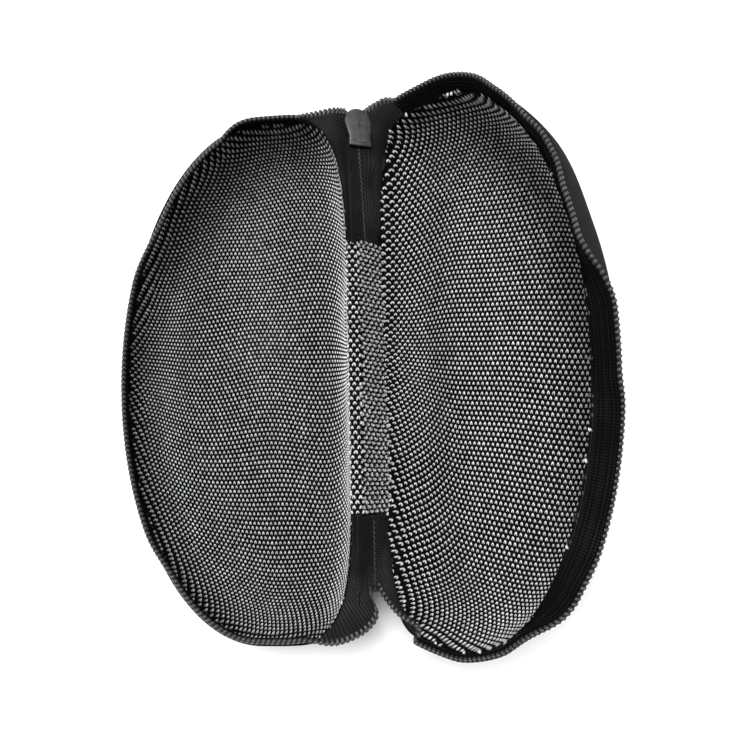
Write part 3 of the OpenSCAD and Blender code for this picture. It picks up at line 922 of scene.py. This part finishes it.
TOP_CHAIN = (
    (38.5, 72.8),
    lambda y: SEAM_LOW[1] + (y - SEAM_LOW[0]) * (SEAM_HIGH[1] - SEAM_LOW[1]) / (SEAM_HIGH[0] - SEAM_LOW[0]),
)
LOW_CHAIN = ((-65.5, -43.0), lambda y: 6.2 + 0 * y)


def chain_tape(name, ends, near, far, lift, middle):
    """A flat tape along the spine between two lines near(y) and far(y) up the lid's back, with a
    turned edge; lift(y, share) raises it inwards."""
    along = np.linspace(*ends, CHAIN_ROWS)
    share = np.linspace(0, 1, CHAIN_COLUMNS)
    face = np.empty((CHAIN_ROWS, CHAIN_COLUMNS, 3))
    face[..., 2] = near(along)[:, None] * (1 - share) + far(along)[:, None] * share
    face[..., 1] = along[:, None]
    face[..., 0] = CHAIN_IN + lift(along[:, None], share[None, :])
    face[..., 0] += slider_twist(along[:, None], face[..., 2] - middle(along)[:, None])
    back = face.copy()
    face[..., 0] += RIM_FACE
    back[..., 0] -= RIM_FACE
    rows = np.concatenate([face, back[:, ::-1], face[:, :1]], axis=1)
    wide = np.concatenate([share, share[::-1], share[:1]]) * 5
    maps = flat_map(end_twice(along)[:, None], wide[None, :])
    return shaped_grid(name, in_lid(capped(rows)), maps, tape_material, 40)


SEAM = 0.42  # half the slit between the two tapes
for part, (ends, seam) in (("top", TOP_CHAIN), ("bottom", LOW_CHAIN)):
    high = chain_tape(part + "_tape_base_side", ends, lambda y: seam(y) + SEAM,
                      lambda y: BASE_EDGE + 0 * y,
                      lambda y, s: 0.12 * np.sin(y / 3.1) * s + 0.25 * s, seam)
    low = chain_tape(part + "_tape_lid_side", ends, lambda y: LID_EDGE + 0 * y,
                     lambda y: seam(y) - SEAM,
                     lambda y, s: 0.5 * np.sin(math.pi * s) + 0.12 * np.sin(y / 2.6 + 1) * (1 - s), seam)
    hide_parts(part + "_chain_tapes")
    length = ends[1] - ends[0]
    turns = round(length / COIL_PITCH)
    for side in (-1, 1):

        def chain_point(share, thick=0.0, tall=0.0, side=side):
            y = ends[0] + share * length
            out = CHAIN_IN - RIM_FACE - COIL_T / 2 - 0.02 + thick + slider_twist(y, side * HALF_CHAIN)
            return in_lid(np.stack([out + 0 * y, y, seam(y) + side * HALF_CHAIN + tall], axis=-1))

        path = helix(chain_point, lambda t: unit(chain_point(t, 1) - chain_point(t)),
                     lambda t: unit(chain_point(t, 0, side) - chain_point(t)), turns)
        coil = shaped_grid(f"{part}_closed_coil_{'lid' if side < 0 else 'base'}_side",
                           *tube_rows(path, WIRE_R * MM, 6), coil_material)
        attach(coil, "lid")
    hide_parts(part + "_chain_coils")
    share = np.linspace(0, 1, turns * 12)
    y = ends[0] + share * length
    swing = share * turns * 2 * math.pi
    teeth = np.stack([CHAIN_IN + 0.12 + 0.2 * np.cos(swing), y, seam(y) + 0.38 * np.sin(swing)], axis=-1)
    row = shaped_grid(part + "_seam_teeth", *tube_rows(in_lid(teeth), 0.24 * MM, 6), coil_material)
    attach(row, "lid")
    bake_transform(high)
    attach(low, "lid")


def softened_copy(name, node, width, material):
    """A copy of a construction part with its triangles merged and its edges rounded."""
    source = bpy.data.objects[node]
    copy = source.copy()
    copy.data = source.data.copy()
    copy.name = copy.data.name = name
    bpy.context.collection.objects.link(copy)
    deselect()
    copy.select_set(True)
    bpy.context.view_layer.objects.active = copy
    bpy.ops.object.mode_set(mode="EDIT")
    bpy.ops.mesh.select_all(action="SELECT")
    bpy.ops.mesh.remove_doubles(threshold=1e-6)
    bpy.ops.mesh.dissolve_limited(angle_limit=math.radians(2))
    bpy.ops.object.mode_set(mode="OBJECT")
    bevel = copy.modifiers.new("rounded_edges", "BEVEL")
    bevel.width = width * MM
    bevel.segments = 3
    bevel.limit_method = "ANGLE"
    bevel.angle_limit = math.radians(35)
    bpy.ops.object.modifier_apply(modifier=bevel.name)
    copy.data.materials.clear()
    copy.data.materials.append(material)
    bpy.ops.object.shade_smooth_by_angle(angle=math.radians(40))
    return copy


def painted_metal(name, dark, light, roughness):
    material, tree, shader = new_material(name, dark, roughness, metallic=0.75)
    tree.links.new(
        blend_colors(tree, step_up(tree, noise(tree, 500, 4), 0.35, 0.7), dark, light),
        shader.inputs["Base Color"])
    tree.links.new(
        step_up(tree, noise(tree, 1400, 3), 0.3, 0.7, roughness - 0.06, roughness + 0.1),
        shader.inputs["Roughness"])
    add_bump(tree, shader, noise(tree, 2600, 3), 0.02 * MM, 0.35)
    return material


stop_material = painted_metal("stop_metal", (0.06, 0.06, 0.062), (0.1, 0.1, 0.1), 0.45)
stop = softened_copy("bottom_clip", "bottom_stop", 0.3, stop_material)
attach(stop, "lid")
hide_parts("bottom_stop")

# ---------------------------------------------------------------------------
# The bar tacks.
# Dense zigzag stitching in black thread across the tape ends, where they go behind
# the spine strip.
# ---------------------------------------------------------------------------
TACK_TURNS = 27
for part, y in (("top", STRIP_TO + 0.5), ("bottom", STRIP_FROM - 0.5)):
    share = np.linspace(0, 1, TACK_TURNS * 4 + 1)
    saw = np.abs((share * TACK_TURNS) % 2 - 1) * 2 - 1
    lift = 0.62 + 0.1 * np.sin(share * TACK_TURNS * math.pi) ** 2
    points = np.stack([lift, y + 0.45 * saw, 1.5 + share * 9.6], axis=-1)
    tack = shaped_grid(part + "_bar_tack", *tube_rows(in_lid(points), 0.16 * MM, 5), cord_material)
    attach(tack, "lid")
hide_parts("tape_end_tacks")

# ---------------------------------------------------------------------------
# The corner tapes, from the rims to the closed ends.
# Where the rim turns down to the spine the tape runs on free, so it crosses the
# corner in a soft web. The upper pair enters the slider; the lower pair parts below.
# ---------------------------------------------------------------------------
SLIDER_Y = 78
SLIDER_UP = SEAM_HIGH[1] + (SLIDER_Y - SEAM_HIGH[0]) * math.tan(CHAIN_LEAN)
IN_SLIDER = (
    Matrix.Translation(Vector(in_lid(np.array([CHAIN_IN, SLIDER_Y / LID_STRETCH, SLIDER_UP]))))
    @ Matrix.Rotation(-LID_TILT, 4, "Y") @ Matrix.Rotation(-SLIDER_TILT, 4, "Y")
    @ Matrix.Rotation(CHAIN_LEAN, 4, "X") @ Matrix.Scale(MM, 4)
)


def flowing(points, count):
    """A smooth line through a few chosen places."""
    p = np.array(points, dtype=float)
    p = np.concatenate([[2 * p[0] - p[1]], p, [2 * p[-1] - p[-2]]])
    spans = len(p) - 3
    t = np.linspace(0, spans - 1e-9, count)
    k, f = t.astype(int), (t % 1)[:, None]
    a, b, c, d = (p[k + n] for n in range(4))
    return 0.5 * (2 * b + (c - a) * f + (2 * a - 5 * b + 4 * c - d) * f**2 + (3 * b - a - 3 * c + d) * f**3)


def rim_end(place, lean_of, side, thick, tall):
    """The end of a standing tape, side 1 at the slider and -1 at the other end, in millimetres."""
    travel = np.array([COLLAR_FROM if side > 0 else RIM_LENGTH - COLLAR_FROM])
    return place(collar_frame(travel, lean_of, np.array([thick]), np.array([tall])))[0] / MM


def foot_line(place, side, reach, count):
    """Along the rim's inner lip, from where the standing tape ends towards the strip."""
    travel = np.linspace(COLLAR_FROM, reach, count)
    if side < 0:
        travel = RIM_LENGTH - travel
    p, outward = rim_at(travel)
    return place(np.concatenate([p - 0.1 * outward, (rim_level(p[:, 0]) + 0.55)[:, None]], axis=1)) / MM


def thicken(piece, thickness):
    """A thickness of cloth, half to each side of the sheet."""
    wall = piece.modifiers.new("cloth_thickness", "SOLIDIFY")
    wall.thickness = thickness * MM
    wall.offset = 0
    bpy.ops.object.modifier_apply(modifier=wall.name)


mouth = [np.array(IN_SLIDER @ Vector((-1.1, 6.2, z))) / MM for z in (3.0, -3.0)]
CORNERS = (
    ("top_base", in_base, base_lean, 1, [(26.5, 80.9, 30.0), (31.5, 82.3, 28.8), tuple(mouth[0])]),
    ("top_lid", in_lid, lid_lean, 1, [(47.6, 85.0, 27.6), (43.6, 84.4, 25.6), tuple(mouth[1])]),
    ("bottom_base", in_base, base_lean, -1,
     [(29.6, -79.3, 28.8), (37.0, -76.8, 26.6), (40.6, -72.8, 24.8), (39.0, -68.6, 24.0),
      (38.6, -65.4, 23.2)]),
    ("bottom_lid", in_lid, lid_lean, -1,
     [(52.8, -76.0, 26.6), (47.6, -72.8, 24.2), (44.2, -69.6, 22.0), (41.2, -65.4, 20.4)]),
)
CORNER_STEPS = 60
for name, place, lean_of, side, route in CORNERS:
    coil_line = flowing([rim_end(place, lean_of, side, COIL_OUT, COIL_UP)] + route, CORNER_STEPS)
    edge = flowing([rim_end(place, lean_of, side, 0, TAPE_TALL)] + route, CORNER_STEPS)
    foot = foot_line(place, side, 41 if side > 0 else 44, CORNER_STEPS)
    share = np.linspace(0, 1, 12)[None, :, None]
    sheet = foot[:, None] * (1 - share) + edge[:, None] * share
    sag = np.sin(np.linspace(0.2, 2.6, CORNER_STEPS))[:, None]
    sheet[..., 2] += 1.1 * np.sin(math.pi * share[..., 0]) * sag
    wide = travelled(sheet[CORNER_STEPS // 2])
    maps = flat_map(np.linspace(0, 24, CORNER_STEPS)[:, None], wide[None, :])
    web = shaped_grid(name + "_corner_tape", sheet * MM, maps, tape_material, 60)
    thicken(web, TAPE_T)
    travel = travelled(coil_line)
    at = travel / travel[-1]

    def line_point(t, line=coil_line, at=at):
        return np.stack([np.interp(t, at, line[:, k]) for k in range(3)], axis=-1) * MM

    def web_side(t, foot=foot, at=at):
        inner = np.stack([np.interp(t, at, foot[:, k]) for k in range(3)], axis=-1) * MM
        return unit(line_point(t) - inner)

    def web_normal(t):
        ahead = unit(line_point(np.minimum(t + 0.02, 1)) - line_point(np.maximum(t - 0.02, 0)))
        return unit(np.cross(ahead, web_side(t)))

    path = helix(line_point, web_normal, web_side, round(travel[-1] / COIL_PITCH))
    coil = shaped_grid(name + "_corner_coil", *tube_rows(path, WIRE_R * MM, 5), coil_material)
    core_line = line_point(np.linspace(0, 1, 30))
    core = shaped_grid(name + "_corner_cord", *tube_rows(core_line, CORD_R * MM, 6), cord_material)
    for piece, kind in ((web, "zipper_tape"), (coil, "zipper_coil"), (core, "core_cord")):
        if place is in_base:
            start, end = Vector(route[0]) * MM, Vector(route[-1]) * MM
            tuple(start)
            tuple(end)
            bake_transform(piece)
        else:
            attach(piece, "lid")

# ---------------------------------------------------------------------------
# The gussets beside the closed ends.
# Soft black tape from the base's rim to the side of the upper and lower chains. It
# closes the slot that the rounded corners leave. It folds as the lid turns on the real
# case; here it is built fixed in place.
# ---------------------------------------------------------------------------
GUSSET_T = 0.35
for name, side, reach in (("top_gusset", 1, (40.5, 67)), ("bottom_gusset", -1, (43.5, 72))):
    travel = np.linspace(*reach, 36)
    p, outward = rim_at(travel if side > 0 else RIM_LENGTH - travel)
    foot = in_base(np.concatenate([p - 0.1 * outward, (rim_level(p[:, 0]) + 0.4)[:, None]], axis=1))
    along = foot[:, 1] / MM / LID_STRETCH
    edge = in_lid(np.stack([CHAIN_IN + 0.1 + 0 * along, along, 13.0 + 0 * along], axis=-1))
    share = np.linspace(0, 1, 9)[None, :, None]
    sheet = foot[:, None] * (1 - share) + edge[:, None] * share
    sheet[..., 2] -= 0.5 * MM * np.sin(math.pi * share[..., 0])
    gusset = shaped_grid(name, sheet, flat_map(along[:, None], 4 * share[..., 0]), tape_material, 60)
    thicken(gusset, GUSSET_T)
    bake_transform(gusset)

# ---------------------------------------------------------------------------
# The slider.
# Cast zinc in dull grey: two plates joined by the neck that parts the coils, and a
# bail on the outer one. The inner plate has a shallow raised face and a mould mark.
# ---------------------------------------------------------------------------
zinc = painted_metal("dull_zinc", (0.09, 0.089, 0.087), (0.13, 0.129, 0.126), 0.5)
# painted shade: a darker copy of the zinc, for the neck between the plates and the mould mark's lines
shaded_zinc = painted_metal("shaded_zinc", (0.02, 0.02, 0.02), (0.035, 0.035, 0.034), 0.55)
for node, width, material in (
    ("slider_inner_plate", 0.38, zinc), ("slider_outer_plate", 0.42, zinc),
    ("slider_neck", 0.15, shaded_zinc), ("slider_bail", 0.3, zinc),
):
    piece = softened_copy(node.replace("slider_", "zinc_"), node, width, material)
    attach(piece, "slider")
    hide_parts(node)
PLATE_FACE = TAPE_T / 2 + 0.45 + 1.2  # the tape's half, the room over it, and the plate
HEAD_R, HEAD_Y = 4.0, 1.45  # the raised face's round head, and its centre along the slider


def on_plate(piece):
    """From the slider's own axes to its place: the piece's mesh is moved there."""
    piece.data.transform(IN_SLIDER)
    piece.data.update()


deselect()
bpy.ops.mesh.primitive_circle_add(vertices=48, radius=1, fill_type="NGON")
panel = bpy.context.object
panel.name = panel.data.name = "zinc_raised_face"
for vertex in panel.data.vertices:
    angle = math.atan2(vertex.co.y, vertex.co.x)
    z, y = HEAD_R * math.cos(angle), HEAD_Y + HEAD_R * math.sin(angle)
    if y < HEAD_Y:
        fall = (HEAD_Y - y) / HEAD_R
        z = math.copysign(min(abs(z) * 1.6, HEAD_R - (HEAD_R - 2.9) * smooth(fall * 1.2)), z)
        y = HEAD_Y - (HEAD_Y + 5.3) * fall
    vertex.co = (PLATE_FACE, y, z)
bpy.ops.object.mode_set(mode="EDIT")
bpy.ops.mesh.select_all(action="SELECT")
bpy.ops.mesh.extrude_region_move(TRANSFORM_OT_translate={"value": (0.16, 0, 0)})
bpy.ops.mesh.inset(thickness=0.25)
bpy.ops.transform.translate(value=(0.06, 0, 0))
bpy.ops.mesh.select_all(action="SELECT")
bpy.ops.mesh.normals_make_consistent(inside=False)
bpy.ops.object.mode_set(mode="OBJECT")
panel.data.materials.append(zinc)
bpy.ops.object.shade_smooth_by_angle(angle=math.radians(30))
on_plate(panel)
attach(panel, "slider")
# the mould mark: a thin raised cross in the darker zinc, as painted shade for its inset lines
for number, size in enumerate(((0.1, 0.3, 2.3), (0.1, 2.3, 0.3))):
    deselect()
    bpy.ops.mesh.primitive_cube_add(size=1)
    bar = bpy.context.object
    bar.name = bar.data.name = f"mould_mark_{number + 1}"
    for vertex in bar.data.vertices:
        vertex.co = (PLATE_FACE + 0.21 + vertex.co.x * size[0] + 0.004 * number,
                     0.4 + vertex.co.y * size[1], vertex.co.z * size[2])
    bevel = bar.modifiers.new("soft_edges", "BEVEL")
    bevel.width = 0.04
    bpy.ops.object.modifier_apply(modifier=bevel.name)
    bar.data.materials.append(shaded_zinc)
    on_plate(bar)
    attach(bar, "slider")

# ---------------------------------------------------------------------------
# The puller.
# A short zinc tab that hangs from the bail, with a soft ribbed grip set in its window.
# ---------------------------------------------------------------------------


def grip_rubber():
    material, tree, shader = new_material("grip_rubber", (0.02, 0.02, 0.02), 0.7, specular=0.35)
    shade = blend_colors(tree, noise(tree, 800, 3), (0.012, 0.012, 0.012), (0.03, 0.03, 0.03))
    tree.links.new(shade, shader.inputs["Base Color"])
    add_bump(tree, shader, noise(tree, 4000, 2), 0.03 * MM, 0.5)
    return material


tab = softened_copy("puller_zinc_tab", "puller_tab", 0.3, zinc)
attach(tab, "puller")
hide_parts("puller_tab")
grip = softened_copy("puller_soft_grip", "puller_grip", 0.25, grip_rubber())
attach(grip, "puller")
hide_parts("puller_grip")
